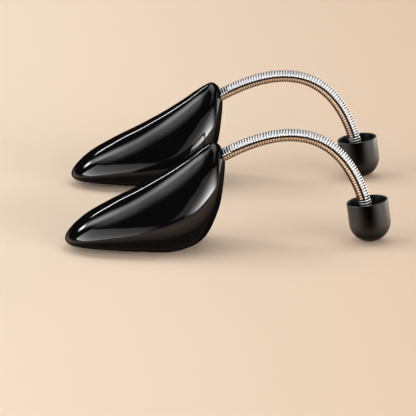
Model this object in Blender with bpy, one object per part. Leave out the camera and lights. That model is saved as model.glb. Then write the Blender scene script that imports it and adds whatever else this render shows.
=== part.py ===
"""A pair of spring shoe trees, standing side by side on a flat surface.

Each tree is a hollow moulded toe in two welded halves, an arched coil spring, and an open heel cup.
The toe points to -X and the cup stands at +X. The right tree is at +Y and the left one at -Y.
The origin is on the surface, in the middle of the pair. Lengths are in metres and angles in degrees.
"""

import math

import bmesh
import bpy
import numpy as np
from mathutils import Matrix, Vector

# Whole tree
TREE_LENGTH = 0.2325  # from the tip of the toe to the back of the heel cup
TREE_SPACING = 0.172  # between the middle planes of the two trees

# Toe
TOE_LENGTH = 0.1152
TOE_HEIGHT = 0.0765
TOE_WIDTH = 0.064
TOE_WALL = 0.0024
SOLE_FLAT_DEPTH = 0.0010  # how deep the ball of the sole is cut flat
SEAM_GAP = 0.0003  # between the two welded halves
UPPER_ROUNDNESS = 1.9  # exponents of the cross-section above and below its widest level
LOWER_ROUNDNESS = 2.5
WIDEST_LEVEL_SHARE = 0.34  # of each section's height
TOE_ROWS = 24
TOE_COLUMNS = 24

# Each station across the toe, from the tip to the back: the top point's x and z, the bottom
# point's x and z and the half width, as shares of the toe's length, height and half width.
TOE_STATION_SHARES = (
    (0.000, 0.110, 0.000, 0.110, 0.00),
    (0.035, 0.205, 0.040, 0.065, 0.42),
    (0.135, 0.335, 0.135, 0.045, 0.70),
    (0.290, 0.465, 0.280, 0.028, 0.88),
    (0.455, 0.585, 0.460, 0.008, 0.98),
    (0.610, 0.710, 0.690, 0.000, 1.00),
    (0.745, 0.835, 0.860, 0.110, 0.93),
    (0.870, 0.960, 0.955, 0.370, 0.72),
    (0.945, 0.998, 0.992, 0.640, 0.42),
    (1.000, 0.880, 1.000, 0.880, 0.00),
)

# Socket for the spring, and the posts that line the two halves up
SOCKET_RISE = 27.0  # slope of the spring where it leaves the toe
SOCKET_DEPTH = 0.012
SOCKET_CLEARANCE = 0.0003  # round the spring and at its end
BOSS_WALL = 0.0021
BOSS_SETBACK = 0.005  # of the boss's open end, behind the toe's skin
POST_RADIUS = 0.0035
POST_SETBACK = 0.0002  # posts and boss stand back from the seam, so that the skin closes first
POST_ROW_SHARES = (0.40, 0.66)
PIN_RADIUS = 0.0016
PIN_LENGTH = 0.004
PIN_CLEARANCE = 0.0003
ROUND_SIDES = 24
POST_SIDES = 12

# Spring
SPRING_DIAMETER = 0.0093
WIRE_DIAMETER = 0.0023
SPRING_TURNS = 46
POINTS_PER_TURN = 8
TOE_PULL = 0.0760  # how far the arch keeps the direction in which it leaves the toe
HEEL_PULL = 0.0520  # and the direction in which it arrives at the heel
SPRING_END_LEAN = 8.5
FRONT_FLEX_SHARE = 0.34  # of the arch flexes about the front pivot, and the rest about the back one
ROUTE_STEPS = 400
GAP_STEPS = 4  # parts of each stretch of wire at which its gap to itself is measured

# Heel cup
CUP_RADIUS = 0.015
CUP_HEIGHT = 0.030
CUP_DOME_DEPTH = 0.0144
CUP_WALL = 0.0016
CUP_FLOOR = 0.0020
CUP_LEAN = 6.5  # the mouth leans towards the toe
SEAT_HEIGHT = 0.010  # from the bottom of the dome to the face that the spring stands on
COLLAR_DEPTH = 0.005
COLLAR_WALL = 0.0014
STUD_CLEARANCE = 0.00035
RIB_THICKNESS = 0.0014
RIB_SETBACK = 0.0015  # of the ribs' top, below the collar's
RIB_COUNT = 4
DOME_STEPS = 7
CUP_SIDES = 32
MERGE_DISTANCE = 0.000001

CUT_OVERRUN = 0.010  # how far a cutter passes the face that it cuts
SHARP_ANGLE = 35.0  # edges that turn by more than this are drawn sharp

SOCKET_RADIUS = SPRING_DIAMETER / 2 + SOCKET_CLEARANCE
BOSS_RADIUS = SOCKET_RADIUS + BOSS_WALL
COIL_RADIUS = (SPRING_DIAMETER - WIRE_DIAMETER) / 2
STUD_RADIUS = SPRING_DIAMETER / 2 - WIRE_DIAMETER - STUD_CLEARANCE


def clear_scene():
    for existing in list(bpy.data.objects):
        bpy.data.objects.remove(existing)


def make_material(name, colour, roughness, metallic):
    material = bpy.data.materials.new(name)
    material.use_nodes = True
    shader = material.node_tree.nodes["Principled BSDF"]
    shader.inputs["Base Color"].default_value = (*colour, 1.0)
    shader.inputs["Roughness"].default_value = roughness
    shader.inputs["Metallic"].default_value = metallic
    material.diffuse_color = (*colour, 1.0)
    return material


def add_object(name, data, parent=None, location=(0, 0, 0), tilt=0.0):
    """Links an object at a place given from its parent's. The tilt is about Y, in degrees."""
    thing = bpy.data.objects.new(name, data)
    bpy.context.scene.collection.objects.link(thing)
    thing.parent = parent
    thing.location = location
    thing.rotation_euler = (0, math.radians(tilt), 0)
    return thing


def add_helper(name, mesh, parent, location=(0, 0, 0), tilt=0.0):
    """Adds a body that is only a tool of a Boolean."""
    helper = add_object(name, mesh, parent, location, tilt)
    helper.hide_render = True
    helper.display_type = "WIRE"
    return helper


def use_helper(piece, helper, operation):
    modifier = piece.modifiers.new(helper.name, "BOOLEAN")
    modifier.operation = operation
    modifier.object = helper


def smooth(mesh):
    mesh.shade_smooth()
    mesh.set_sharp_from_angle(angle=math.radians(SHARP_ANGLE))
    return mesh


def closed_spline(knots, places):
    """Points of a smooth closed curve through the knots, at places counted in knots."""
    knots = np.asarray(knots, float)
    count = len(knots)
    first = np.floor(places).astype(int)
    t = (places - first)[:, None]
    before, start, end, after = (knots[(first + step) % count] for step in (-1, 0, 1, 2))
    return 0.5 * (
        2 * start
        + (end - before) * t
        + (2 * before - 5 * start + 4 * end - after) * t**2
        + (3 * start - before - 3 * end + after) * t**3
    )


def toe_sections(rows):
    """The top point, the bottom point and the half width of the toe at each row."""
    last = len(TOE_STATION_SHARES) - 1
    tops = [(s[0] * TOE_LENGTH, s[1] * TOE_HEIGHT) for s in TOE_STATION_SHARES]
    bottoms = [(s[2] * TOE_LENGTH, s[3] * TOE_HEIGHT) for s in TOE_STATION_SHARES[1:last]]
    half_widths = [s[4] * TOE_WIDTH / 2 for s in TOE_STATION_SHARES]
    outline = tops + bottoms[::-1]
    widths = half_widths + [-width for width in half_widths[1:last][::-1]]
    top = closed_spline(outline, rows * last)
    bottom = closed_spline(outline, (2 - rows) * last)
    half_width = closed_spline([(width,) for width in widths], rows * last)[:, 0]
    return top, bottom, half_width


def toe_points(rows, angles):
    """Points of the toe's outer skin: a row of sections, each a rounded ring round the angles."""
    top, bottom, half_width = toe_sections(rows)
    middle = bottom + (top - bottom) * WIDEST_LEVEL_SHARE
    cosine, sine = np.cos(angles), np.sin(angles)
    upper = sine > 0
    roundness = np.where(upper, UPPER_ROUNDNESS, LOWER_ROUNDNESS)
    across = np.sign(cosine) * np.abs(cosine) ** (2 / roundness)
    along = np.abs(sine) ** (2 / roundness)
    reach = np.where(upper[None, :, None], (top - middle)[:, None], (bottom - middle)[:, None])
    profile = middle[:, None] + reach * along[None, :, None]
    points = np.empty((len(rows), len(angles), 3))
    points[..., 0] = profile[..., 0]
    points[..., 1] = half_width[:, None] * across[None, :]
    points[..., 2] = np.maximum(profile[..., 1] - SOLE_FLAT_DEPTH, 0)
    return points


def toe_rows(count):
    """Row places from the tip to the back, closer together near both ends."""
    return (1 - np.cos(np.pi * np.arange(count + 1) / count)) / 2


def skin_normals(points):
    """Outward normals of a grid of rings that closes to a point at its first and last row."""
    normals = np.zeros_like(points)
    ahead = np.roll(points, -1, axis=1)
    one = ahead[1:] - points[:-1]
    other = points[1:] - ahead[:-1]
    facing = np.cross(one, other)
    for rows in (slice(0, -1), slice(1, None)):
        normals[rows] += facing
        normals[rows] += np.roll(facing, 1, axis=1)
    normals[0] = normals[0].sum(axis=0)
    normals[-1] = normals[-1].sum(axis=0)
    normals /= np.linalg.norm(normals, axis=2, keepdims=True)
    middle = points.mean(axis=(0, 1))
    outward = ((points - middle) * normals).sum()
    return normals if outward > 0 else -normals


def toe_half_mesh(name, side):
    """One moulded half of the toe, a bowl with its rim on the seam. side is 1 at +Y and -1 at -Y."""
    angles = 2 * np.pi * np.arange(TOE_COLUMNS) / TOE_COLUMNS
    skin = toe_points(toe_rows(TOE_ROWS), angles)
    lining = skin - TOE_WALL * skin_normals(skin)
    quarter = TOE_COLUMNS // 4
    columns = np.arange(-quarter, quarter + 1)
    bed = bmesh.new()

    def vertices_of(grid):
        rows = []
        for number, ring in enumerate(grid[:, columns]):
            ends = number in (0, TOE_ROWS)
            corners = []
            for x, y, z in ring[:1] if ends else ring:
                corners.append(bed.verts.new((x, side * max(y, SEAM_GAP / 2), z)))
            rows.append(corners * len(columns) if ends else corners)
        return rows

    outer, inner = vertices_of(skin), vertices_of(lining)

    def add_face(*corners):
        ring = []
        for corner in corners:
            if corner not in ring:
                ring.append(corner)
        if len(ring) > 2:
            bed.faces.new(ring)

    for row in range(TOE_ROWS):
        for column in range(len(columns) - 1):
            for grid, turn in ((outer, side), (inner, -side)):
                corners = [
                    grid[row][column],
                    grid[row][column + 1],
                    grid[row + 1][column + 1],
                    grid[row + 1][column],
                ]
                add_face(*corners[::turn])
        for edge, turn in ((0, side), (-1, -side)):
            corners = [outer[row][edge], outer[row + 1][edge], inner[row + 1][edge], inner[row][edge]]
            add_face(*corners[::turn])
    bmesh.ops.recalc_face_normals(bed, faces=bed.faces)
    mesh = bpy.data.meshes.new(name)
    bed.to_mesh(mesh)
    bed.free()
    return smooth(mesh)


def rod(bed, radius, start, end, sides, direction):
    """Adds a closed rod to the bed, running along the direction from start to end."""
    turn = Vector((0, 0, 1)).rotation_difference(Vector(direction)).to_matrix().to_4x4()
    place = turn @ Matrix.Translation((0, 0, (start + end) / 2))
    bmesh.ops.create_cone(
        bed,
        cap_ends=True,
        segments=sides,
        radius1=radius,
        radius2=radius,
        depth=end - start,
        matrix=place,
    )


def half_rod(bed, radius, start, end, sides, side, flat):
    """Adds half a rod along X to the bed, its flat face at that distance from the middle plane."""
    first = math.asin(flat / radius)
    angles = [first + (math.pi - 2 * first) * step / sides for step in range(sides + 1)]
    ends = []
    for x in (start, end):
        ring = []
        for angle in angles:
            corner = (x, side * radius * math.sin(angle), radius * math.cos(angle))
            ring.append(bed.verts.new(corner))
        ends.append(ring)
    for one, other in zip(range(len(angles)), list(range(1, len(angles))) + [0]):
        bed.faces.new((ends[0][one], ends[0][other], ends[1][other], ends[1][one]))
    bed.faces.new(ends[0])
    bed.faces.new(ends[1])
    bmesh.ops.recalc_face_normals(bed, faces=bed.faces)


def finished(bed, name):
    mesh = bpy.data.meshes.new(name)
    bed.to_mesh(mesh)
    bed.free()
    return mesh


def toe_exit():
    """Where the spring leaves the toe: the point at which the toe's sections close at the back."""
    share = TOE_STATION_SHARES[-1]
    return Vector((share[0] * TOE_LENGTH, 0, share[1] * TOE_HEIGHT - SOLE_FLAT_DEPTH))


def post_places():
    """Where each post stands on the widest line of the toe's side: x, z and the skin's y."""
    ring = toe_points(np.array(POST_ROW_SHARES), np.zeros(1))[:, 0]
    return [(float(x), float(z), float(y)) for x, y, z in ring]


def toe_inside_mesh(name, side):
    """What one half carries inside: half of the spring's boss, and posts with pins on one side."""
    bed = bmesh.new()
    boss_end = -(SOCKET_DEPTH + BOSS_WALL)
    flat = SEAM_GAP / 2 + POST_SETBACK
    half_rod(bed, BOSS_RADIUS, boss_end, -BOSS_SETBACK, ROUND_SIDES // 2, side, flat)
    rise = Matrix.Rotation(-math.radians(SOCKET_RISE), 4, "Y")
    bmesh.ops.transform(bed, verts=bed.verts, matrix=Matrix.Translation(toe_exit()) @ rise)
    for x, z, skin in post_places():
        post = bmesh.new()
        rod(post, POST_RADIUS, flat, skin - TOE_WALL / 2, POST_SIDES, (0, side, 0))
        bmesh.ops.translate(post, verts=post.verts, vec=(x, 0, z))
        scrap = finished(post, name + "_post")
        bed.from_mesh(scrap)
        bpy.data.meshes.remove(scrap)
    return finished(bed, name)


def pins_mesh(name, side, radius, overrun):
    """Pins across the seam at each post, or the cutter for the holes that they enter."""
    bed = bmesh.new()
    for x, z, _ in post_places():
        pin = bmesh.new()
        rod(pin, radius, -PIN_LENGTH, PIN_LENGTH + overrun, POST_SIDES, (0, side, 0))
        bmesh.ops.translate(pin, verts=pin.verts, vec=(x, 0, z))
        scrap = finished(pin, name + "_pin")
        bed.from_mesh(scrap)
        bpy.data.meshes.remove(scrap)
    return finished(bed, name)


def socket_mesh(name):
    bed = bmesh.new()
    rod(bed, SOCKET_RADIUS, -SOCKET_DEPTH, CUT_OVERRUN, ROUND_SIDES, (1, 0, 0))
    return finished(bed, name)


def build_toe(tree, base, plastic):
    """Two halves that meet on the middle plane. The +Y half carries the pins."""
    socket = add_helper(tree + "_socket_cutter", socket_mesh("socket_cutter"), base, toe_exit(), -SOCKET_RISE)
    for side in (1, -1):
        facing_other = (side < 0) == (tree == "right")
        name = f"{tree}_toe_{'inner' if facing_other else 'outer'}_half"
        half = add_object(name, toe_half_mesh(name, side), base)
        half.data.materials.append(plastic)
        inside = add_helper(name + "_inside", toe_inside_mesh(name + "_inside", side), base)
        use_helper(half, inside, "UNION")
        if side > 0:
            pins = add_helper(name + "_pins", pins_mesh(name + "_pins", side, PIN_RADIUS, 0), base)
            use_helper(half, pins, "UNION")
        else:
            holes = pins_mesh(name + "_holes", side, PIN_RADIUS + PIN_CLEARANCE, PIN_CLEARANCE)
            use_helper(half, add_helper(name + "_holes", holes, base), "DIFFERENCE")
        use_helper(half, socket, "DIFFERENCE")


def cup_centre():
    """The middle of the circle where the cup's straight wall meets its dome, with the dome on z = 0."""
    lean = math.radians(CUP_LEAN)
    reach = math.hypot(CUP_RADIUS * math.cos(lean), CUP_DOME_DEPTH * math.sin(lean))
    height = math.hypot(CUP_RADIUS * math.sin(lean), CUP_DOME_DEPTH * math.cos(lean))
    return Vector((TREE_LENGTH - reach, 0, height))


def cup_axis():
    lean = math.radians(CUP_LEAN)
    return Vector((-math.sin(lean), 0, math.cos(lean)))


def cup_bottom():
    return cup_centre() - cup_axis() * CUP_DOME_DEPTH


def cup_profile():
    """Half of the cup's cut face, from the stud's top on the axis to the bottom of the dome."""
    collar_top = SEAT_HEIGHT + COLLAR_DEPTH
    collar_bore = SOCKET_RADIUS
    boss_radius = collar_bore + COLLAR_WALL
    inner_radius = CUP_RADIUS - CUP_WALL
    inner_depth = CUP_DOME_DEPTH - CUP_FLOOR
    points = [(0, collar_top), (STUD_RADIUS, collar_top), (STUD_RADIUS, SEAT_HEIGHT)]
    points += [(collar_bore, SEAT_HEIGHT), (collar_bore, collar_top), (boss_radius, collar_top)]
    start = math.acos(boss_radius / inner_radius)
    for step in range(DOME_STEPS):
        angle = start * (1 - step / (DOME_STEPS - 1))
        height = CUP_DOME_DEPTH - inner_depth * math.sin(angle)
        points.append((inner_radius * math.cos(angle), height))
    rim = CUP_WALL / 2
    points.append((inner_radius, CUP_HEIGHT - rim))
    points.append((inner_radius + rim / 2, CUP_HEIGHT))
    points.append((CUP_RADIUS - rim / 2, CUP_HEIGHT))
    points.append((CUP_RADIUS, CUP_HEIGHT - rim))
    for step in range(DOME_STEPS + 1):
        angle = math.pi / 2 * step / DOME_STEPS
        height = CUP_DOME_DEPTH * (1 - math.sin(angle))
        points.append((CUP_RADIUS * math.cos(angle), height))
    points[-1] = (0, 0)
    return points


def cup_mesh(name):
    bed = bmesh.new()
    corners = [bed.verts.new((radius, 0, height)) for radius, height in cup_profile()]
    edges = [bed.edges.new(pair) for pair in zip(corners, corners[1:])]
    bmesh.ops.spin(
        bed,
        geom=corners + edges,
        cent=(0, 0, 0),
        axis=(0, 0, 1),
        angle=2 * math.pi,
        steps=CUP_SIDES,
        use_merge=True,
    )
    bmesh.ops.remove_doubles(bed, verts=bed.verts, dist=MERGE_DISTANCE)
    bmesh.ops.recalc_face_normals(bed, faces=bed.faces)
    return smooth(finished(bed, name))


def cup_ribs_mesh(name):
    """Upright webs from the boss to the cup, their lower edges along the middle of its wall."""
    bed = bmesh.new()
    start = SOCKET_RADIUS + COLLAR_WALL / 2
    top = SEAT_HEIGHT + COLLAR_DEPTH - RIB_SETBACK
    radius = CUP_RADIUS - CUP_WALL / 2
    depth = CUP_DOME_DEPTH - CUP_FLOOR / 2
    low = math.acos(start / radius)
    high = math.asin(max(CUP_DOME_DEPTH - top, 0) / depth)
    outline = [(start, top)]
    for step in range(DOME_STEPS + 1):
        angle = low + (high - low) * step / DOME_STEPS
        outline.append((radius * math.cos(angle), CUP_DOME_DEPTH - depth * math.sin(angle)))
    if top > CUP_DOME_DEPTH:
        outline.append((radius, top))
    for number in range(RIB_COUNT):
        turn = Matrix.Rotation(2 * math.pi * (number + 0.5) / RIB_COUNT, 4, "Z")
        faces = []
        for offset in (-RIB_THICKNESS / 2, RIB_THICKNESS / 2):
            corners = [bed.verts.new(turn @ Vector((x, offset, z))) for x, z in outline]
            faces.append(bed.faces.new(corners))
        bmesh.ops.bridge_loops(bed, edges=[edge for face in faces for edge in face.edges])
    bmesh.ops.recalc_face_normals(bed, faces=bed.faces)
    return finished(bed, name)


def build_cup(tree, base, pivot, plastic):
    """The cup hangs from the pivot about which the back part of the spring flexes."""
    place = cup_bottom() - pivot
    cup = add_object(tree + "_heel_cup", cup_mesh(tree + "_heel_cup"), base, place, -CUP_LEAN)
    cup.data.materials.append(plastic)
    ribs = add_helper(tree + "_cup_ribs", cup_ribs_mesh(tree + "_cup_ribs"), base, place, -CUP_LEAN)
    use_helper(cup, ribs, "UNION")


def spring_route():
    """Closely spaced points along the middle of the spring, from its seat in the toe to the cup's."""
    rise, lean = math.radians(SOCKET_RISE), math.radians(SPRING_END_LEAN)
    leaving = Vector((math.cos(rise), 0, math.sin(rise)))
    arriving = Vector((math.sin(lean), 0, -math.cos(lean)))
    seat = toe_exit() - leaving * (SOCKET_DEPTH - SOCKET_CLEARANCE)
    start = toe_exit()
    end = cup_bottom() + cup_axis() * (SEAT_HEIGHT + SOCKET_CLEARANCE)
    knots = (start, start + leaving * TOE_PULL, end - arriving * HEEL_PULL, end)
    t = np.linspace(0, 1, ROUTE_STEPS + 1)[:, None]
    weights = ((1 - t) ** 3, 3 * (1 - t) ** 2 * t, 3 * (1 - t) * t**2, t**3)
    arch = sum(weight * np.array(knot) for weight, knot in zip(weights, knots))
    return np.vstack([np.array(seat)[None], arch])


def places_along(route, distances):
    """The points and directions at those distances along the route."""
    steps = np.linalg.norm(np.diff(route, axis=0), axis=1)
    lengths = np.concatenate([[0], np.cumsum(steps)])
    points = np.stack([np.interp(distances, lengths, route[:, axis]) for axis in range(3)], 1)
    span = WIRE_DIAMETER / 2
    ahead = np.stack([np.interp(distances + span, lengths, route[:, axis]) for axis in range(3)], 1)
    behind = np.stack([np.interp(distances - span, lengths, route[:, axis]) for axis in range(3)], 1)
    directions = ahead - behind
    return points, directions / np.linalg.norm(directions, axis=1, keepdims=True)


def route_length(route):
    return float(np.linalg.norm(np.diff(route, axis=0), axis=1).sum())


def coil_points():
    """The wire's middle line: a helix round the route, its ends straight along the spring."""
    route = spring_route()
    total = route_length(route)
    count = SPRING_TURNS * POINTS_PER_TURN
    distances = np.linspace(WIRE_DIAMETER, total - WIRE_DIAMETER, count + 1)
    centres, directions = places_along(route, distances)
    turns = 2 * np.pi * np.arange(count + 1) / POINTS_PER_TURN
    outward = np.cross(directions, (0.0, 1.0, 0.0))
    offsets = outward * np.cos(turns)[:, None] + np.array((0.0, 1.0, 0.0)) * np.sin(turns)[:, None]
    wire = centres + offsets * COIL_RADIUS
    first = wire[0] - directions[0] * WIRE_DIAMETER
    last = wire[-1] + directions[-1] * WIRE_DIAMETER
    return np.vstack([first[None], wire, last[None]])


def least_gap(points):
    """The least clearance of the wire to itself, over points half a turn or more apart."""
    least = math.inf
    apart = POINTS_PER_TURN // 2 * GAP_STEPS
    fine = np.linspace(points[:-1], points[1:], GAP_STEPS, endpoint=False, axis=1).reshape(-1, 3)
    for number in range(len(fine)):
        others = fine[number + apart :]
        if len(others):
            least = min(least, float(np.linalg.norm(others - fine[number], axis=1).min()))
    return least - WIRE_DIAMETER


def spring_curve(name, origin):
    curve = bpy.data.curves.new(name, "CURVE")
    curve.dimensions = "3D"
    curve.bevel_depth = WIRE_DIAMETER / 2
    curve.bevel_resolution = 1
    curve.use_fill_caps = True
    points = coil_points()
    spline = curve.splines.new("POLY")
    spline.points.add(len(points) - 1)
    for knot, place in zip(spline.points, points):
        knot.co = (*(Vector(place) - origin), 1.0)
    spline.use_smooth = True
    return curve


def flex_pivots():
    """The points about which the front and the back part of the arch flex: the middle of each."""
    arch = spring_route()[1:]
    distances = np.linspace(0, route_length(arch), ROUTE_STEPS + 1)
    points, _ = places_along(arch, distances)
    split = round(ROUTE_STEPS * FRONT_FLEX_SHARE)
    return Vector(points[: split + 1].mean(axis=0)), Vector(points[split:].mean(axis=0))


def build_tree(tree, y, gloss, satin, steel):
    base = add_object(tree + "_tree", None, None, (-TREE_LENGTH / 2, y, 0))
    build_toe(tree, base, gloss)
    front, back = flex_pivots()
    front_flex = add_object(tree + "_front_flex", None, base, front)
    back_flex = add_object(tree + "_back_flex", None, front_flex, back - front)
    spring = add_object(tree + "_spring", spring_curve(tree + "_spring", front), front_flex)
    spring.data.materials.append(steel)
    build_cup(tree, back_flex, back, satin)
    for pivot in (front_flex, back_flex):
        pivot.empty_display_size = SPRING_DIAMETER


def main():
    clear_scene()
    gloss = make_material("gloss_black_plastic", (0.008, 0.008, 0.009), 0.16, 0.0)
    satin = make_material("satin_black_plastic", (0.014, 0.014, 0.015), 0.42, 0.0)
    steel = make_material("bright_steel_wire", (0.72, 0.71, 0.69), 0.20, 1.0)
    build_tree("right", TREE_SPACING / 2, gloss, satin, steel)
    build_tree("left", -TREE_SPACING / 2, gloss, satin, steel)
    bpy.context.view_layer.update()
    for name in ("right_front_flex", "right_back_flex", "left_front_flex", "left_back_flex"):
        place = bpy.data.objects[name].matrix_world.translation
        print(name, [round(value, 5) for value in place])
    print("least gap of the wire to itself, mm:", round(least_gap(coil_points()) * 1000, 2))
    print("spring length, mm:", round(route_length(spring_route()) * 1000, 1))


main()
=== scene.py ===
"""Studio scene of a pair of spring shoe trees, standing side by side on a pale floor.

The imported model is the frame. Fine meshes of the toe's moulded halves, the wound spring and the
heel cup stand for its solids. Lengths are in metres and angles in degrees unless a name says more.
"""

import math

import bmesh
import bpy
import numpy as np
from mathutils import Matrix, Vector


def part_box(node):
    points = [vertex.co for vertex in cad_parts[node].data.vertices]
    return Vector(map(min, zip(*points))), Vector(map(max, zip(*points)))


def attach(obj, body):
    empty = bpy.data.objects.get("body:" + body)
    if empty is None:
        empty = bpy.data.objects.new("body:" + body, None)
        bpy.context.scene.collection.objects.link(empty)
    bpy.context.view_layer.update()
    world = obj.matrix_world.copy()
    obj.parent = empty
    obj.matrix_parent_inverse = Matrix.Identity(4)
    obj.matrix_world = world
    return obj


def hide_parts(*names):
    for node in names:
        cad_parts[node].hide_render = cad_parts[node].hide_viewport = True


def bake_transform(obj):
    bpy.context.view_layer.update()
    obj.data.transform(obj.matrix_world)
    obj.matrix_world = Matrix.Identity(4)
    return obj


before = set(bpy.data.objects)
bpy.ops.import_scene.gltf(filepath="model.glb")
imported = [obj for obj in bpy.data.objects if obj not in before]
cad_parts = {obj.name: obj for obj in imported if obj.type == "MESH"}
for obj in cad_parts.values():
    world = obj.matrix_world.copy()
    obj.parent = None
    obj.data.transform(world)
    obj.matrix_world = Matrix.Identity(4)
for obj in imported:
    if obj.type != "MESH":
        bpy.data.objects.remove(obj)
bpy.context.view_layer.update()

TREES = ("right", "left")

# Whole tree, as in the model
TREE_LENGTH = 0.2325

# Toe, as in the model
TOE_LENGTH = 0.1152
TOE_HEIGHT = 0.0765
TOE_WIDTH = 0.064
TOE_WALL = 0.0024
SOLE_FLAT_DEPTH = 0.0010
UPPER_ROUNDNESS = 1.9
LOWER_ROUNDNESS = 2.5
WIDEST_LEVEL_SHARE = 0.34
# From the tip to the spring's exit: place and height of the top, place and height of the bottom,
# and the width, as shares of the toe's
TOE_STATION_SHARES = (
    (0.000, 0.110, 0.000, 0.110, 0.00),
    (0.035, 0.205, 0.040, 0.065, 0.42),
    (0.135, 0.335, 0.135, 0.045, 0.70),
    (0.290, 0.465, 0.280, 0.028, 0.88),
    (0.455, 0.585, 0.460, 0.008, 0.98),
    (0.610, 0.710, 0.690, 0.000, 1.00),
    (0.745, 0.835, 0.860, 0.110, 0.93),
    (0.870, 0.960, 0.955, 0.370, 0.72),
    (0.945, 0.998, 0.992, 0.640, 0.42),
    (1.000, 0.880, 1.000, 0.880, 0.00),
)

# Socket of the spring in the toe, and the fine steps of the toe's mesh
SOCKET_RISE = 27.0
SOCKET_DEPTH = 0.012
SOCKET_CLEARANCE = 0.0003
BOSS_WALL = 0.0021
LIP_RADIUS = 0.0008  # of the rounded edge round the socket's mouth
SEAM_GAP = 0.00008
SEAM_GROOVE = 0.00010  # depth of the fine line that the weld leaves
SKIN_ROWS = 110
SKIN_COLUMNS = 60
SKIN_STEP_SHARE = 0.0005  # between the points that give the skin's slope
LAST_ROW_SHARE = 0.85  # before which no row reaches the socket's mouth
HALVINGS = 40  # of the search for the mouth
GROOVE_ANGLE = 0.35
LIP_PULL_SHARE = 0.55  # which makes the lip's curve about a quarter of a circle
LIP_ROWS = 6
BORE_ROWS = 3
BOTTOM_ROWS = 2

# Spring
SPRING_DIAMETER = 0.0093
WIRE_DIAMETER = 0.00180
SPRING_TURNS = 81
POINTS_PER_TURN = 30
WIRE_SIDES = 12
TOE_PULL = 0.0760  # how far the arch keeps to the direction in which it leaves the toe
HEEL_PULL = 0.0520  # and to that in which it comes into the cup
SPRING_END_LEAN = 8.5
FRONT_FLEX_SHARE = 0.34
EXIT_LENGTH = 0.0165  # at the toe, where painted shade darkens the gaps right across the white side
SEATED_LENGTH = 0.0225  # in the cup, where painted shade darkens the gaps all round
WHITE_SIDE_SHARE = 0.6  # of the way from the arch's inner to its outer side, where white begins
SHADED_GAPS_SIDE_SHARE = 1.0  # and where the painted shade in the gaps is at its broadest
ROUTE_STEPS = 800

# Heel cup
CUP_RADIUS = 0.015
CUP_HEIGHT = 0.030
CUP_DOME_DEPTH = 0.0144
CUP_WALL = 0.0016
CUP_FLOOR = 0.0020
CUP_LEAN = 6.5
SEAT_HEIGHT = 0.010
COLLAR_DEPTH = 0.005
COLLAR_WALL = 0.0014
STUD_CLEARANCE = 0.00035
RIB_THICKNESS = 0.0014
RIB_SETBACK = 0.0015
RIB_COUNT = 4
CUP_SIDES = 160
DOME_STEPS = 28
RIM_STEPS = 8

# All meshes
MERGE_DISTANCE = 0.000001
SHARP_ANGLE = 35.0
INSET = 0.0001  # the fine curves lie this far inside the model's, whose flat faces cut theirs short

SOCKET_RADIUS = SPRING_DIAMETER / 2 + SOCKET_CLEARANCE
BOSS_RADIUS = SOCKET_RADIUS + BOSS_WALL
COIL_RADIUS = (SPRING_DIAMETER - WIRE_DIAMETER - INSET) / 2
STUD_RADIUS = SPRING_DIAMETER / 2 - WIRE_DIAMETER - STUD_CLEARANCE

# Marks in the finishes. The cup's grain, the die's lines on the wire and the paper's fibres are
# finer in truth, and are drawn as coarse as they need to be to show.
TOE_CLOUD_MM = 22.2
WIPE_MARK_MM = 3.85
MOULD_WAVE_MM = 11.1
CUP_CLOUD_MM = 8.33
GRAIN_MM = 0.385
DIE_LINE_MM = 0.0707
DIE_LINE_CHANGES = 2.0  # along the coil, in each diameter of the wire
FIBRE_MM = 1.11

# The picture
PICTURE_PIXELS = 416
PIXEL_SIZE = 0.000755  # at the right tree
CAMERA_ELEVATION = 16.0
CAMERA_ROLL = 1.36
CAMERA_DISTANCE = 3.0
VIEW_DEPTH = 30.0
SENSOR_WIDTH_MM = 36.0
TIP_PIXEL = (71.6, 183.0)  # where the right toe's tip stands on the floor

# Studio
LAMP_DISTANCE = 3.5
FLOOR_WIDTH = 16.0
PALE_END, PLAIN_END = -0.25, 0.25  # places between which the floor loses the painted light on its paler left side
DARK_END, LIT_END = -1.5, -0.2  # places between which it comes out of the painted shade on its far left
DARK_SHARE = 0.55  # of its colour that the painted shade leaves, out there
HORIZON_SHARE, CEILING_SHARE = 0.07, 0.12  # heights between which the pale band goes dim


def linear(code):
    """A colour written as sRGB hex, as linear red, green, blue and alpha."""
    shares = [int(code[place : place + 2], 16) / 255 for place in (1, 3, 5)]
    curve = [s / 12.92 if s <= 0.04045 else ((s + 0.055) / 1.055) ** 2.4 for s in shares]
    return (*curve, 1.0)


# Finishes


# The Mix node's colour sockets, by number because each of their names stands for several sockets
FIRST, SECOND, RESULT = 6, 7, 2


def add_node(tree, kind, settings=(), links=()):
    """Adds a node, sets its properties and sockets, and links other nodes' sockets to its own."""
    node = tree.nodes.new(kind)
    for name, value in dict(settings).items():
        if isinstance(name, int) or name in node.inputs:
            node.inputs[name].default_value = value
        else:
            setattr(node, name, value)
    for name, socket in dict(links).items():
        tree.links.new(socket, node.inputs[name])
    return node


def grey(level):
    return (level, level, level, 1.0)


def marks(millimetres):
    """The texture scale at which a pattern's marks are this wide."""
    return 1000 / millimetres


def new_finish(name, **settings):
    """A material with its shader's own values set, and its node tree ready for more."""
    material = bpy.data.materials.new(name)
    material.use_nodes = True
    shader = material.node_tree.nodes["Principled BSDF"]
    for socket, value in settings.items():
        shader.inputs[socket.replace("_", " ")].default_value = value
    return material, material.node_tree, shader


# What is left of a gloss underneath, and on a flank towards the heel cup
UNDERSIDE_GLOSS_SHARE = 0.1
FLANK_GLOSS_SHARE = 0.06


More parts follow.
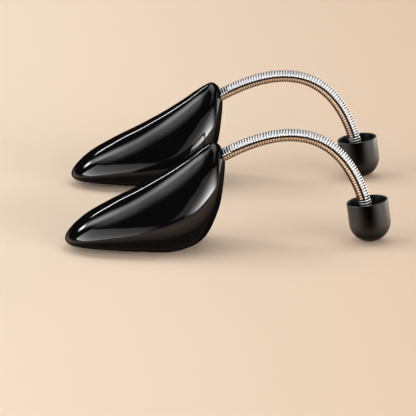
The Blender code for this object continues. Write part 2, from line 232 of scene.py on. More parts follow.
def shape_gloss(tree, shader, turned_away, levels, turned_down, aside=(1.0, 1.1)):
    """Sets a gloss that depends on how each face is turned.

    It goes from the first level to the second as a face turns away from the eye, through the shares
    of the turn in turned_away. It falls as the height of the face's normal sinks through the two in
    turned_down, and as the turn, times how far the face looks towards the heel cup, rises through
    aside, which it can't reach by default.
    """
    turn = add_node(tree, "ShaderNodeLayerWeight", {"Blend": 0.5}).outputs["Facing"]
    normal = add_node(tree, "ShaderNodeNewGeometry").outputs["Normal"]
    cupward, _, height = add_node(tree, "ShaderNodeSeparateXYZ", links={"Vector": normal}).outputs
    flank = add_node(tree, "ShaderNodeMath", {"operation": "MULTIPLY"}, {0: turn, 1: cupward})
    falls = (
        (turn, turned_away, levels),
        (height, turned_down, (UNDERSIDE_GLOSS_SHARE, 1.0)),
        (flank.outputs["Value"], aside, (1.0, FLANK_GLOSS_SHARE)),
    )
    gloss = []
    for socket, (start, end), (first, last) in falls:
        settings = {"From Min": start, "From Max": end, "To Min": first, "To Max": last}
        fall = add_node(tree, "ShaderNodeMapRange", settings, {"Value": socket})
        gloss.append(fall.outputs["Result"])
    level = gloss[0]
    for other in gloss[1:]:
        both = {0: level, 1: other}
        level = add_node(tree, "ShaderNodeMath", {"operation": "MULTIPLY"}, both).outputs["Value"]
    tree.links.new(level, shader.inputs["Specular IOR Level"])


# Places round the spring's wire, from the inner side of the arch at 0 to the outer side at 1, each
# with the tint of a painted reflection, with the colour of the painted shade in the gaps, or with
# how far out of the gap that painted shade reaches
# A painted reflection: the warm floor's on the arch's inner side, then a painted dark band, then
# plain steel
PAINTED_WARM_REFLECTION, PAINTED_DARK_BAND, PLAIN = linear("#ffe6cc"), linear("#1c1410"), linear("#ffffff")
PAINTED_REFLECTION_STOPS = ((0, PAINTED_WARM_REFLECTION), (0.40, PAINTED_WARM_REFLECTION), (0.47, PAINTED_DARK_BAND), (0.58, PAINTED_DARK_BAND), (0.66, PLAIN), (1, PLAIN))
BROWN_PAINTED_SHADE, BLACK_PAINTED_SHADE = linear("#6c3a14"), linear("#0c0a0a")
PAINTED_SHADE_STOPS = ((0, BROWN_PAINTED_SHADE), (0.42, BROWN_PAINTED_SHADE), (0.5, BLACK_PAINTED_SHADE), (1, BLACK_PAINTED_SHADE))
PAINTED_SHADE_FADE_SHARE = 0.1  # over which the painted shade fades out on the wire
PAINTED_SHADE_EDGE_STOPS = (
    (0, grey(1.0)),
    (0.14, grey(1.0)),
    (0.22, grey(0.88)),
    (0.30, grey(0.68)),
    (0.40, grey(0.60)),
    (0.48, grey(0.84)),
    (0.56, grey(0.84)),
    (0.64, grey(0.0)),
    (0.86, grey(0.0)),
    (0.91, grey(0.84)),
    (0.96, grey(0.84)),
    (1, grey(0.89)),
)


def polished_polystyrene():
    """Black polystyrene from a polished mould: near black, a clear hard gloss, faint wipe marks.

    Its gloss falls off at the very edge and underneath, where the real one, held up off the floor,
    stays black.
    """
    material, tree, shader = new_finish("polished_black_polystyrene", IOR=1.5)
    place = add_node(tree, "ShaderNodeTexCoord").outputs["Object"]
    cloud, wipes, waves = (
        add_node(
            tree,
            "ShaderNodeTexNoise",
            {"Scale": marks(size), "Detail": detail},
            {"Vector": place},
        ).outputs["Fac"]
        for size, detail in ((TOE_CLOUD_MM, 3.0), (WIPE_MARK_MM, 4.0), (MOULD_WAVE_MM, 1.0))
    )
    tint = add_node(
        tree,
        "ShaderNodeMix",
        {"data_type": "RGBA", FIRST: linear("#050506"), SECOND: linear("#080709")},
        {"Factor": cloud},
    )
    tree.links.new(tint.outputs[RESULT], shader.inputs["Base Color"])
    rough = add_node(
        tree, "ShaderNodeMapRange", {"To Min": 0.035, "To Max": 0.075}, {"Value": wipes}
    )
    tree.links.new(rough.outputs["Result"], shader.inputs["Roughness"])
    shape_gloss(
        tree,
        shader,
        turned_away=(0.48, 0.73),
        levels=(0.5, 0.0),
        turned_down=(-0.10, 0.14),
        aside=(0.23, 0.36),
    )
    bump = add_node(
        tree, "ShaderNodeBump", {"Strength": 0.05, "Distance": 0.0002}, {"Height": waves}
    )
    tree.links.new(bump.outputs["Normal"], shader.inputs["Normal"])
    return material


def moulded_polypropylene():
    """Black polypropylene from a fine-grained mould: brown-black, with a broad sheen at its sides."""
    material, tree, shader = new_finish("satin_black_polypropylene", IOR=1.49)
    place = add_node(tree, "ShaderNodeTexCoord").outputs["Object"]
    grain, cloud = (
        add_node(
            tree,
            "ShaderNodeTexNoise",
            {"Scale": marks(size), "Detail": detail},
            {"Vector": place},
        ).outputs["Fac"]
        for size, detail in ((GRAIN_MM, 2.0), (CUP_CLOUD_MM, 3.0))
    )
    tint = add_node(
        tree,
        "ShaderNodeMix",
        {"data_type": "RGBA", FIRST: linear("#040303"), SECOND: linear("#070605")},
        {"Factor": cloud},
    )
    tree.links.new(tint.outputs[RESULT], shader.inputs["Base Color"])
    rough = add_node(tree, "ShaderNodeMapRange", {"To Min": 0.36, "To Max": 0.42}, {"Value": cloud})
    tree.links.new(rough.outputs["Result"], shader.inputs["Roughness"])
    shape_gloss(
        tree, shader, turned_away=(0.03, 0.30), levels=(0.0, 1.0), turned_down=(-0.55, -0.05)
    )
    bump = add_node(
        tree, "ShaderNodeBump", {"Strength": 0.25, "Distance": 0.00004}, {"Height": grain}
    )
    tree.links.new(bump.outputs["Normal"], shader.inputs["Normal"])
    return material


def drawn_spring_steel():
    """Bright drawn spring wire: a satin grey, with painted shade in the gaps between turns.

    A painted reflection of the warm floor turns the inner side of the arch straw brown, with a
    painted dark band where that colour ends. The painted shade reaches out of the gaps along the
    arch's outer and inner edge.
    """
    material, tree, shader = new_finish("drawn_spring_steel", Metallic=1.0)
    wire = add_node(tree, "ShaderNodeAttribute", {"attribute_name": "wire"}).outputs["Vector"]
    outward, _, arch_side = add_node(
        tree, "ShaderNodeSeparateXYZ", links={"Vector": wire}
    ).outputs
    half_girth = math.pi * WIRE_DIAMETER / 2
    along = add_node(
        tree,
        "ShaderNodeMapping",
        {"Scale": (marks(DIE_LINE_MM) * half_girth, DIE_LINE_CHANGES, 0)},
        {"Vector": wire},
    )
    lines = add_node(
        tree,
        "ShaderNodeTexNoise",
        {"Scale": 1.0, "Detail": 4.0},
        {"Vector": along.outputs["Vector"]},
    )
    drawn = add_node(
        tree,
        "ShaderNodeMix",
        {"data_type": "RGBA", FIRST: linear("#dcdcde"), SECOND: linear("#f6f6f7")},
        {"Factor": lines.outputs["Fac"]},
    )
    # Ramps over the place round the arch: painted reflection, the painted shade's colour, and how far
    # that painted shade reaches
    painted_reflection, painted_shade, painted_shade_edge = (
        add_node(tree, "ShaderNodeValToRGB", links={"Fac": arch_side}) for _ in range(3)
    )
    for ramp, stops in ((painted_reflection, PAINTED_REFLECTION_STOPS), (painted_shade, PAINTED_SHADE_STOPS), (painted_shade_edge, PAINTED_SHADE_EDGE_STOPS)):
        elements = ramp.color_ramp.elements
        for place, value in stops[1:-1]:
            elements.new(place).color = value
        elements[0].color, elements[-1].color = stops[0][1], stops[-1][1]
    steel = add_node(
        tree,
        "ShaderNodeMix",
        {"data_type": "RGBA", "blend_type": "MULTIPLY", "Factor": 1.0},
        {FIRST: drawn.outputs[RESULT], SECOND: painted_reflection.outputs["Color"]},
    )
    unshaded_edge = add_node(
        tree,
        "ShaderNodeMath",
        {"operation": "ADD", 1: PAINTED_SHADE_FADE_SHARE},
        {0: painted_shade_edge.outputs["Color"]},
    )
    unshaded = add_node(
        tree,
        "ShaderNodeMapRange",
        {"interpolation_type": "SMOOTHSTEP"},
        {
            "Value": outward,
            "From Min": painted_shade_edge.outputs["Color"],
            "From Max": unshaded_edge.outputs["Value"],
        },
    )
    # Painted shade laid over the steel in the gaps between turns
    with_painted_shade = add_node(
        tree,
        "ShaderNodeMix",
        {"data_type": "RGBA"},
        {
            "Factor": unshaded.outputs["Result"],
            FIRST: painted_shade.outputs["Color"],
            SECOND: steel.outputs[RESULT],
        },
    )
    tree.links.new(with_painted_shade.outputs[RESULT], shader.inputs["Base Color"])
    rough = add_node(
        tree,
        "ShaderNodeMapRange",
        {"To Min": 0.5, "To Max": 0.42},
        {"Value": unshaded.outputs["Result"]},
    )
    tree.links.new(rough.outputs["Result"], shader.inputs["Roughness"])
    return material


# Meshes


def new_object(name, data):
    """An object that holds this data, linked into the scene."""
    thing = bpy.data.objects.new(name, data)
    bpy.context.scene.collection.objects.link(thing)
    return thing


def place_mesh(name, points, faces, material):
    """An object whose mesh has these points and faces, facing out, with its sharp edges marked."""
    mesh = bpy.data.meshes.new(name)
    mesh.from_pydata([tuple(point) for point in points], [], faces)
    bed = bmesh.new()
    bed.from_mesh(mesh)
    bmesh.ops.remove_doubles(bed, verts=bed.verts, dist=MERGE_DISTANCE)
    bmesh.ops.recalc_face_normals(bed, faces=bed.faces)
    bed.to_mesh(mesh)
    bed.free()
    return place_object(name, mesh, material)


def place_object(name, mesh, material):
    """An object of this mesh, smooth but for its sharp edges."""
    mesh.shade_smooth()
    mesh.set_sharp_from_angle(angle=math.radians(SHARP_ANGLE))
    mesh.materials.append(material)
    return new_object(name, mesh)


def unit(vectors):
    """These vectors, one to a row, each brought to a length of one."""
    return vectors / np.linalg.norm(vectors, axis=1, keepdims=True)


def tree_origin(tree):
    """Where a tree's own frame lies: on the floor, in its middle plane, under the toe's tip."""
    low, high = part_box(f"{tree}_spring")
    return Vector((-TREE_LENGTH / 2, (low.y + high.y) / 2, 0))


# Toe


def closed_spline(knots, places):
    """Points of a smooth closed curve through the knots, at places counted in knots."""
    knots = np.asarray(knots, float)
    first = np.floor(places).astype(int)
    t = (places - first)[:, None]
    before, start, end, after = (knots[(first + step) % len(knots)] for step in (-1, 0, 1, 2))
    return 0.5 * (
        2 * start
        + (end - before) * t
        + (2 * before - 5 * start + 4 * end - after) * t**2
        + (3 * start - before - 3 * end + after) * t**3
    )


def skin(rows, angles):
    """Points of the toe's outer skin, at rows from 0 at the tip to 1 at the spring's exit."""
    last = len(TOE_STATION_SHARES) - 1
    tops = [(s[0] * TOE_LENGTH, s[1] * TOE_HEIGHT) for s in TOE_STATION_SHARES]
    bottoms = [(s[2] * TOE_LENGTH, s[3] * TOE_HEIGHT) for s in TOE_STATION_SHARES[1:last]]
    half_widths = [s[4] * TOE_WIDTH / 2 for s in TOE_STATION_SHARES]
    widths = half_widths + [-width for width in half_widths[1:last][::-1]]
    top = closed_spline(tops + bottoms[::-1], rows * last)
    bottom = closed_spline(tops + bottoms[::-1], (2 - rows) * last)
    half_width = closed_spline([(width,) for width in widths], rows * last)[:, 0]
    middle = bottom + (top - bottom) * WIDEST_LEVEL_SHARE
    cosine, sine = np.cos(angles), np.sin(angles)
    roundness = np.where(sine > 0, UPPER_ROUNDNESS, LOWER_ROUNDNESS)
    across = np.sign(cosine) * np.abs(cosine) ** (2 / roundness)
    along = np.abs(sine) ** (2 / roundness)
    profile = middle + np.where((sine > 0)[:, None], top - middle, bottom - middle) * along[:, None]
    return np.stack(
        [profile[:, 0], half_width * across, np.maximum(profile[:, 1] - SOLE_FLAT_DEPTH, 0)], 1
    )


def skin_inside(rows, angles, depth):
    """Points that lie this far inside the toe's skin."""
    step = SKIN_STEP_SHARE
    rows = np.clip(rows, step, 1 - step)
    down = skin(rows + step, angles) - skin(rows - step, angles)
    round_about = skin(rows, angles + step) - skin(rows, angles - step)
    return skin(rows, angles) + depth * unit(np.cross(down, round_about))


def toe_exit():
    share = TOE_STATION_SHARES[-1]
    return np.array((share[0] * TOE_LENGTH, 0, share[1] * TOE_HEIGHT - SOLE_FLAT_DEPTH))


def leaving():
    """The direction in which the spring leaves the toe."""
    return np.array((math.cos(math.radians(SOCKET_RISE)), 0, math.sin(math.radians(SOCKET_RISE))))


def from_socket(points):
    """Each point's place along the socket's axis, its distance from it and its direction from it."""
    along = (points - toe_exit()) @ leaving()
    away = points - toe_exit() - along[:, None] * leaving()
    distance = np.linalg.norm(away, axis=1)
    return along, distance, away / np.maximum(distance, MERGE_DISTANCE)[:, None]


def last_rows(angles, depth, radius):
    """The row at which each column, this deep in the skin, is this near to the socket's axis."""
    low, high = np.full(len(angles), LAST_ROW_SHARE), np.ones(len(angles))
    for _ in range(HALVINGS):
        middle = (low + high) / 2
        outside = from_socket(skin_inside(middle, angles, depth))[1] > radius
        low, high = np.where(outside, middle, low), np.where(outside, high, middle)
    return (low + high) / 2


def toe_grid(angles, depth, mouth, radius, end):
    """Rows of points over the skin or the lining, round the socket's mouth, and down to its end.

    depth is the distance inside the skin, mouth the radius at which the rows leave it, and radius
    and end are those of the socket's wall and bottom, or of the boss round it.
    """
    rows = (1 - np.cos(np.pi * np.arange(SKIN_ROWS + 1) / SKIN_ROWS)) / 2
    last = last_rows(angles, depth, mouth)
    grid = [skin_inside(row * last, angles, depth) for row in rows]
    grid[0][:] = grid[0].mean(axis=0) * (1, 0, 1)
    along, _, outward = from_socket(grid[-1])
    slope = unit(grid[-1] - grid[-2])
    lip = mouth - radius
    wall_top = grid[-1] - outward * lip - leaving() * lip
    pull = lip * LIP_PULL_SHARE
    for step in range(1, LIP_ROWS + 1):
        t = step / LIP_ROWS
        grid.append(
            (1 - t) ** 3 * grid[SKIN_ROWS]
            + 3 * (1 - t) ** 2 * t * (grid[SKIN_ROWS] + slope * pull)
            + 3 * (1 - t) * t**2 * (wall_top + leaving() * pull)
            + t**3 * wall_top
        )
    top_along = along - lip
    for step in range(1, BORE_ROWS + 1):
        place = top_along + (-end - top_along) * step / BORE_ROWS
        grid.append(toe_exit() + place[:, None] * leaving() + outward * radius)
    for step in range(1, BOTTOM_ROWS + 1):
        share = 1 - step / BOTTOM_ROWS
        grid.append(toe_exit() - end * leaving() + outward * radius * share)
    return np.array(grid)


def toe_half(name, side, origin, material):
    """One moulded half: skin, socket, seam face and lining as one closed body. side is 1 at +Y."""
    steps = np.linspace(-90 + GROOVE_ANGLE, 90 - GROOVE_ANGLE, SKIN_COLUMNS - 1)
    angles = np.radians(np.concatenate([[-90], steps, [90]]))
    mouth, lining_mouth = SOCKET_RADIUS + LIP_RADIUS, BOSS_RADIUS + LIP_RADIUS
    outer = toe_grid(angles, INSET, mouth, SOCKET_RADIUS, SOCKET_DEPTH)
    sunk = toe_grid(angles, INSET + SEAM_GROOVE, mouth, SOCKET_RADIUS, SOCKET_DEPTH)
    outer[: SKIN_ROWS + 1, [0, -1]] = sunk[: SKIN_ROWS + 1, [0, -1]]
    lining = toe_grid(angles, TOE_WALL, lining_mouth, BOSS_RADIUS, SOCKET_DEPTH + BOSS_WALL)
    points = []
    for grid in (outer, lining):
        grid[..., 1] = side * np.maximum(grid[..., 1], SEAM_GAP / 2)
        points.append(grid.reshape(-1, 3) + np.array(origin))
    rows, columns = outer.shape[:2]
    faces = []
    for row in range(rows - 1):
        for column in range(columns - 1):
            for layer in (0, 1):
                corner = layer * rows * columns + row * columns + column
                faces.append((corner, corner + 1, corner + columns + 1, corner + columns))
        for column in (0, columns - 1):
            corner = row * columns + column
            other = rows * columns + corner
            faces.append((corner, corner + columns, other + columns, other))
    return place_mesh(name, np.vstack(points), faces, material)


# Spring


def cup_centre():
    """The middle of the circle where the cup's straight wall meets its dome."""
    lean = math.radians(CUP_LEAN)
    reach = math.hypot(CUP_RADIUS * math.cos(lean), CUP_DOME_DEPTH * math.sin(lean))
    height = math.hypot(CUP_RADIUS * math.sin(lean), CUP_DOME_DEPTH * math.cos(lean))
    return np.array((TREE_LENGTH - reach, 0, height))


def cup_axis():
    return np.array((-math.sin(math.radians(CUP_LEAN)), 0, math.cos(math.radians(CUP_LEAN))))


def cup_bottom():
    return cup_centre() - cup_axis() * CUP_DOME_DEPTH


def spring_route():
    """Closely spaced points along the spring's middle, from its seat in the toe to the cup's."""
    lean = math.radians(SPRING_END_LEAN)
    arriving = np.array((math.sin(lean), 0, -math.cos(lean)))
    start = toe_exit()
    seat = start - leaving() * (SOCKET_DEPTH - SOCKET_CLEARANCE)
    end = cup_bottom() + cup_axis() * (SEAT_HEIGHT + SOCKET_CLEARANCE)
    knots = (start, start + leaving() * TOE_PULL, end - arriving * HEEL_PULL, end)
    t = np.linspace(0, 1, ROUTE_STEPS + 1)[:, None]
    weights = ((1 - t) ** 3, 3 * (1 - t) ** 2 * t, 3 * (1 - t) * t**2, t**3)
    return np.vstack([seat[None], sum(weight * knot for weight, knot in zip(weights, knots))])


def lengths_along(route):
    return np.concatenate([[0], np.cumsum(np.linalg.norm(np.diff(route, axis=0), axis=1))])


def route_points(route, distances):
    lengths = lengths_along(route)
    return np.stack([np.interp(distances, lengths, route[:, axis]) for axis in range(3)], 1)


def wire_line():
    """The wire's middle line, with each point's direction away from the coil's middle, its distance
    along the coil, and how far it lies towards the outside of the arch, from 0 to 1.

    Where the coil leaves the toe and down in the cup the value stays high, for there the painted
    shade in the gaps reaches right across.
    """
    route = spring_route()
    total = lengths_along(route)[-1]
    count = SPRING_TURNS * POINTS_PER_TURN
    distances = np.linspace(WIRE_DIAMETER / 2, total - WIRE_DIAMETER / 2, count + 1)
    centres = route_points(route, distances)
    front, rear = (
        route_points(route, distances + step) for step in (WIRE_DIAMETER, -WIRE_DIAMETER)
    )
    ahead = unit(front - rear)
    turns = 2 * np.pi * np.arange(count + 1) / POINTS_PER_TURN
    sideways = np.array((0.0, 1.0, 0.0))
    outward = np.cross(ahead, sideways) * np.cos(turns)[:, None] + sideways * np.sin(turns)[:, None]
    arch_side = 0.5 + 0.5 * np.cos(turns)
    # Where the painted shade fills the gaps right across
    leaving_toe = (distances < EXIT_LENGTH) & (arch_side > WHITE_SIDE_SHARE)
    arch_side[leaving_toe | (distances > total - SEATED_LENGTH)] = SHADED_GAPS_SIDE_SHARE
    return centres + outward * COIL_RADIUS, outward, distances, arch_side


def wire_piece(name, line, outward, distances, arch_side, origin, material):
    """A round wire along the line, closed at both ends.

    Its attribute holds how far a point faces out of the coil, from 0 to 1, how far along the coil
    it lies, in wire diameters, and how far its place in the turn faces out of the arch, from 0 to 1.
    """
    ahead = unit(np.gradient(line, axis=0))
    aside = unit(np.cross(ahead, outward))
    outward = np.cross(aside, ahead)
    angles = 2 * np.pi * np.arange(WIRE_SIDES) / WIRE_SIDES
    cosines, sines = np.cos(angles)[:, None], np.sin(angles)[:, None]
    ring = outward[:, None] * cosines + aside[:, None] * sines
    points = (line[:, None] + ring * WIRE_DIAMETER / 2).reshape(-1, 3) + np.array(origin)
    faces = []
    for row in range(len(line) - 1):
        for side in range(WIRE_SIDES):
            corner, beside = row * WIRE_SIDES + side, row * WIRE_SIDES + (side + 1) % WIRE_SIDES
            faces.append((corner, beside, beside + WIRE_SIDES, corner + WIRE_SIDES))
    faces.append(tuple(range(WIRE_SIDES)))
    faces.append(tuple(len(points) - 1 - side for side in range(WIRE_SIDES)))
    piece = place_mesh(name, points, faces, material)
    places = np.zeros((len(line), WIRE_SIDES, 3))
    places[..., 0] = 0.5 + 0.5 * cosines[:, 0]
    places[..., 1] = (distances / WIRE_DIAMETER)[:, None]
    places[..., 2] = arch_side[:, None]
    layer = piece.data.attributes.new("wire", "FLOAT_VECTOR", "POINT")
    layer.data.foreach_set("vector", places.ravel())
    return piece


def split_distance():
    """How far along the spring its front part, which flexes at the toe, meets its back part."""
    arch = lengths_along(spring_route())[-1] - SOCKET_DEPTH + SOCKET_CLEARANCE
    return SOCKET_DEPTH - SOCKET_CLEARANCE + arch * FRONT_FLEX_SHARE


def build_spring(tree, material):
    """The spring, in two lengths of one wire, split where its front part meets its back part."""
    origin = tree_origin(tree)
    wire = wire_line()
    distances = wire[2]
    cut = int(np.searchsorted(distances, split_distance()))
    front = wire_piece(f"{tree}_spring_front", *(part[: cut + 1] for part in wire), origin, material)
    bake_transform(front)
    back = wire_piece(f"{tree}_spring_back", *(part[cut:] for part in wire), origin, material)
    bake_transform(back)
    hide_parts(f"{tree}_spring")


# Heel cup


def arc(centre, radii, first, last, steps):
    """Points round an ellipse, from the first angle to the last, both in degrees."""
    angles = [math.radians(first + (last - first) * step / steps) for step in range(steps + 1)]
    return [
        (centre[0] + radii[0] * math.cos(angle), centre[1] + radii[1] * math.sin(angle))
        for angle in angles
    ]


def cup_profile():
    """Half of the cup's cut face, from the stud's top on the axis to the bottom of the dome."""
    collar_top = SEAT_HEIGHT + COLLAR_DEPTH
    boss_radius = SOCKET_RADIUS + COLLAR_WALL
    outer_radius = CUP_RADIUS - INSET
    inner_radius = CUP_RADIUS - CUP_WALL
    rim = (outer_radius - inner_radius) / 2
    start = math.degrees(math.acos(boss_radius / inner_radius))
    points = [(0, collar_top), (STUD_RADIUS, collar_top), (STUD_RADIUS, SEAT_HEIGHT)]
    points += [(SOCKET_RADIUS, SEAT_HEIGHT), (SOCKET_RADIUS, collar_top), (boss_radius, collar_top)]
    middle = (0, CUP_DOME_DEPTH)
    points += arc(middle, (inner_radius, CUP_DOME_DEPTH - CUP_FLOOR), -start, 0, DOME_STEPS)
    points += arc((outer_radius - rim, CUP_HEIGHT - rim), (rim, rim), 180, 0, RIM_STEPS)
    points += arc(middle, (outer_radius, CUP_DOME_DEPTH - INSET), 0, -90, DOME_STEPS)
    points[-1] = (0, INSET)
    return points


def mesh_from(bed, name):
    """A mesh of what is in the bed, with its faces facing out."""
    bmesh.ops.recalc_face_normals(bed, faces=bed.faces)
    mesh = bpy.data.meshes.new(name)
    bed.to_mesh(mesh)
    bed.free()
    return mesh


def cup_shell():
    bed = bmesh.new()
    corners = [bed.verts.new((radius, 0, height)) for radius, height in cup_profile()]
    edges = [bed.edges.new(pair) for pair in zip(corners, corners[1:])]
    bmesh.ops.spin(
        bed,
        geom=corners + edges,
        cent=(0, 0, 0),
        axis=(0, 0, 1),
        angle=2 * math.pi,
        steps=CUP_SIDES,
        use_merge=True,
    )
    bmesh.ops.remove_doubles(bed, verts=bed.verts, dist=MERGE_DISTANCE)
    return mesh_from(bed, "cup_shell")


def cup_ribs():
    """Upright webs from the collar to the cup, their lower edges along the middle of its wall."""
    bed = bmesh.new()
    start = SOCKET_RADIUS + COLLAR_WALL / 2
    top = SEAT_HEIGHT + COLLAR_DEPTH - RIB_SETBACK
    radius = CUP_RADIUS - CUP_WALL / 2
    depth = CUP_DOME_DEPTH - CUP_FLOOR / 2
    low = math.degrees(math.acos(start / radius))
    high = math.degrees(math.asin((CUP_DOME_DEPTH - top) / depth))
    outline = [(start, top)] + arc((0, CUP_DOME_DEPTH), (radius, depth), -low, -high, DOME_STEPS)
    for number in range(RIB_COUNT):
        turn = Matrix.Rotation(2 * math.pi * (number + 0.5) / RIB_COUNT, 4, "Z")
        faces = []
        for offset in (-RIB_THICKNESS / 2, RIB_THICKNESS / 2):
            corners = [bed.verts.new(turn @ Vector((x, offset, z))) for x, z in outline]
            faces.append(bed.faces.new(corners))
        bmesh.ops.bridge_loops(bed, edges=[edge for face in faces for edge in face.edges])
    return mesh_from(bed, "cup_ribs")


def settled(mesh):
    """The same mesh with its corners and faces in an order that is the same on every run."""
    places = [tuple(corner.co) for corner in mesh.vertices]
    order = sorted(range(len(places)), key=lambda number: places[number])
    ranks = {number: rank for rank, number in enumerate(order)}
    faces = []
    for polygon in mesh.polygons:
        face = [ranks[number] for number in polygon.vertices]
        start = face.index(min(face))
        faces.append(face[start:] + face[:start])
    result = bpy.data.meshes.new(mesh.name)
    result.from_pydata([places[number] for number in order], [], sorted(faces))
    return result


def joined(mesh, other):
    """One mesh that is the union of both, settled because the union's own order varies."""
    one, two = new_object("union", mesh), new_object("union_tool", other)
    modifier = one.modifiers.new("union", "BOOLEAN")
    modifier.operation = "UNION"
    modifier.object = two
    graph = bpy.context.evaluated_depsgraph_get()
    union = bpy.data.meshes.new_from_object(one.evaluated_get(graph))
    for thing in (one, two):
        bpy.data.objects.remove(thing)
    return settled(union)


def build_cup(tree, mesh, material):
    mesh = mesh.copy()
    place = Vector(cup_bottom()) + tree_origin(tree)
    mesh.transform(Matrix.Translation(place) @ Matrix.Rotation(-math.radians(CUP_LEAN), 4, "Y"))
    cup = place_object(f"{tree}_cup", mesh, material)
    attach(cup, f"{tree}_heel")
    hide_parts(f"{tree}_heel_cup")


def build_toe(tree, material):
    for side in (1, -1):
        facing_other = (side < 0) == (tree == "right")
        name = f"{tree}_toe_{'inner' if facing_other else 'outer'}"
        half = toe_half(name, side, tree_origin(tree), material)
        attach(half, f"{tree}_toe")
        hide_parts(f"{name}_half")


# Studio


def build_floor():
    """A wide sheet of matt paper, warm beige, with painted light that makes it a little paler on the
    left.

    Far out on that side painted shade darkens it, so that it stays below white near the bright lamps
    there.
    """
    half = FLOOR_WIDTH / 2
    mesh = bpy.data.meshes.new("floor")
    corners = [(-half, -half, 0), (half, -half, 0), (half, half, 0), (-half, half, 0)]
    mesh.from_pydata(corners, [], [(0, 1, 2, 3)])
    floor = new_object("floor", mesh)
    material, tree, shader = new_finish("matt_beige_paper", Roughness=0.9, Specular_IOR_Level=0.2)
    place = add_node(tree, "ShaderNodeTexCoord").outputs["Object"]
    fibres = add_node(
        tree,
        "ShaderNodeTexNoise",
        {"Scale": marks(FIBRE_MM), "Detail": 2.0},
        {"Vector": place},
    )
    paper = add_node(
        tree,
        "ShaderNodeMix",
        {"data_type": "RGBA", FIRST: linear("#e9ccb1"), SECOND: linear("#eccfb4")},
        {"Factor": fibres.outputs["Fac"]},
    )
    across = add_node(tree, "ShaderNodeSeparateXYZ", links={"Vector": place})
    # Painted light: paler towards the left
    shade = add_node(
        tree,
        "ShaderNodeMapRange",
        {"From Min": PALE_END, "From Max": PLAIN_END},
        {"Value": across.outputs["X"]},
    )
    shaded = add_node(
        tree,
        "ShaderNodeMix",
        {"data_type": "RGBA", FIRST: linear("#ffead2")},
        {"Factor": shade.outputs["Result"], SECOND: paper.outputs[RESULT]},
    )
    # Painted shade, darker out on the far left
    beyond = add_node(
        tree,
        "ShaderNodeMapRange",
        {"From Min": DARK_END, "From Max": LIT_END, "To Min": DARK_SHARE},
        {"Value": across.outputs["X"]},
    )
    dimmed = add_node(
        tree,
        "ShaderNodeMix",
        {"data_type": "RGBA", FIRST: linear("#000000")},
        {"Factor": beyond.outputs["Result"], SECOND: shaded.outputs[RESULT]},
    )
    tree.links.new(dimmed.outputs[RESULT], shader.inputs["Base Color"])
    mesh.materials.append(material)


def build_world():
    """A pale band at the horizon under a dim ceiling."""
    world = bpy.data.worlds.new("studio")
    bpy.context.scene.world = world
    world.use_nodes = True
    tree = world.node_tree
    direction = add_node(tree, "ShaderNodeTexCoord").outputs["Generated"]
    height = add_node(tree, "ShaderNodeSeparateXYZ", links={"Vector": direction}).outputs["Z"]
    share = add_node(
        tree,
        "ShaderNodeMapRange",
        {"From Min": HORIZON_SHARE, "From Max": CEILING_SHARE},
        {"Value": height},
    )
    tint = add_node(
        tree,
        "ShaderNodeMix",
        {"data_type": "RGBA", FIRST: linear("#e2c7af"), SECOND: linear("#201e1d")},
        {"Factor": share.outputs["Result"]},
    )
    tree.links.new(tint.outputs[RESULT], tree.nodes["Background"].inputs["Color"])


def shade_face(lamp, right_share, top_share, fade):
    """Grades a lamp's face evenly to these shares of its brightness at its right end and its top.

    It fades out sideways and upwards over the shares in fade of its half width and half height.
    """
    lamp.use_nodes = True
    tree = lamp.node_tree
    face = add_node(tree, "ShaderNodeNewGeometry").outputs["Parametric"]
    place = add_node(tree, "ShaderNodeSeparateXYZ", links={"Vector": face})
    parts = []
    for axis, share, width in (("X", right_share, fade[0]), ("Y", top_share, fade[1])):
        along = place.outputs[axis]
        parts.append(add_node(tree, "ShaderNodeMath", {"operation": "POWER", 0: share}, {1: along}))
        if width > 0:
            edge = add_node(tree, "ShaderNodeMath", {"operation": "PINGPONG", 1: 0.5}, {0: along})
            rise = {"From Max": width / 2, "interpolation_type": "SMOOTHSTEP"}
            parts.append(add_node(tree, "ShaderNodeMapRange", rise, {"Value": edge.outputs["Value"]}))
    strength = parts[0].outputs[0]
    for part in parts[1:]:
        both = {0: strength, 1: part.outputs[0]}
        strength = add_node(tree, "ShaderNodeMath", {"operation": "MULTIPLY"}, both).outputs["Value"]
    tree.links.new(strength, tree.nodes["Emission"].inputs["Strength"])


def add_softbox(
    name, azimuth, elevation, wide, high, roll, brightness, right=1.0, top=1.0, fade=(0, 0)
):
    """A rectangular lamp that faces the trees and is this wide and high, in degrees, seen from them.

    Azimuth 0 is in front of the trees, where the camera is, and 90 beside the heel cups.
    Brightness is that of its lower left corner, where white paper on the floor has about 1.
    """
    lamp = bpy.data.lights.new(name, "AREA")
    lamp.shape = "RECTANGLE"
    lamp.size = 2 * LAMP_DISTANCE * math.tan(math.radians(wide / 2))
    lamp.size_y = 2 * LAMP_DISTANCE * math.tan(math.radians(high / 2))
    lamp.energy = brightness * math.pi * lamp.size * lamp.size_y
    shade_face(lamp, right, top, fade)
    thing = new_object(name, lamp)
    turn, rise = math.radians(azimuth), math.radians(elevation)
    away = Vector(
        (math.sin(turn) * math.cos(rise), -math.cos(turn) * math.cos(rise), math.sin(rise))
    )
    facing = away.to_track_quat("Z", "Y").to_matrix() @ Matrix.Rotation(math.radians(roll), 3, "Z")
    thing.matrix_world = Matrix.Translation(away * LAMP_DISTANCE) @ facing.to_4x4()
    thing.visible_camera = False


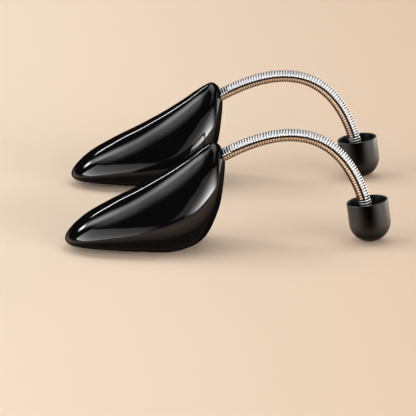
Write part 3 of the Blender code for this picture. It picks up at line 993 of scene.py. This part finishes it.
def build_lamps():
    # Azimuth, elevation, width, height and roll, in degrees, and brightness
    add_softbox("spine_strip", -148, 32, 14, 2.2, 0, 17, fade=(0.5, 0.5))
    add_softbox("tip_spot", -120, 32, 13, 12, 0, 22, fade=(1, 1))
    add_softbox("high_left_strip", -114, 47, 20, 44, -26, 4.5, fade=(1, 1))
    add_softbox("high_left_softbox", -84, 56, 50, 26, 0, 2.2, right=0.5, fade=(1, 1))
    add_softbox("front_left_card", -49, 16, 76, 38, -26, 10.5, right=0.4, top=0.14)
    add_softbox("front_middle_card", 27, 22, 62, 30, -12, 0.55)
    add_softbox("front_right_card", 42, 17, 84, 24, -6, 24, top=0.04, fade=(1, 0))
    add_softbox("right_card", 124, 6, 60, 16, 0, 27, top=0.2, fade=(1, 0.2))
    add_softbox("high_right_softbox", 60, 52, 46, 30, 0, 0.8, fade=(1, 1))
    add_softbox("rear_softbox", 150, 72, 80, 56, 0, 1.7, fade=(0.6, 0.6))


def build_camera():
    """A long lens at the photo's angle, turned so that the right tree lies where it does there."""
    rise, roll = math.radians(CAMERA_ELEVATION), math.radians(CAMERA_ROLL)
    level = Vector((1, 0, 0))
    upright = Vector((0, math.sin(rise), math.cos(rise)))
    right = level * math.cos(roll) - upright * math.sin(roll)
    up = level * math.sin(roll) + upright * math.cos(roll)
    back = right.cross(up)
    middle = PICTURE_PIXELS / 2
    across = (middle - TIP_PIXEL[0]) * PIXEL_SIZE
    above = (TIP_PIXEL[1] - middle) * PIXEL_SIZE
    aim = tree_origin("right") + right * across + up * above
    camera = bpy.data.cameras.new("camera")
    camera.sensor_width = SENSOR_WIDTH_MM
    camera.lens = SENSOR_WIDTH_MM * CAMERA_DISTANCE / (PICTURE_PIXELS * PIXEL_SIZE)
    camera.clip_end = VIEW_DEPTH
    thing = new_object("camera", camera)
    turn = Matrix((right, up, back)).transposed()
    thing.matrix_world = Matrix.Translation(aim + back * CAMERA_DISTANCE) @ turn.to_4x4()
    bpy.context.scene.camera = thing


def main():
    plastic = polished_polystyrene()
    satin = moulded_polypropylene()
    steel = drawn_spring_steel()
    cup = joined(cup_shell(), cup_ribs())
    for tree in TREES:
        build_toe(tree, plastic)
        build_spring(tree, steel)
        build_cup(tree, cup, satin)
    build_floor()
    build_world()
    build_lamps()
    build_camera()
    bpy.context.scene.view_settings.view_transform = "Standard"


main()
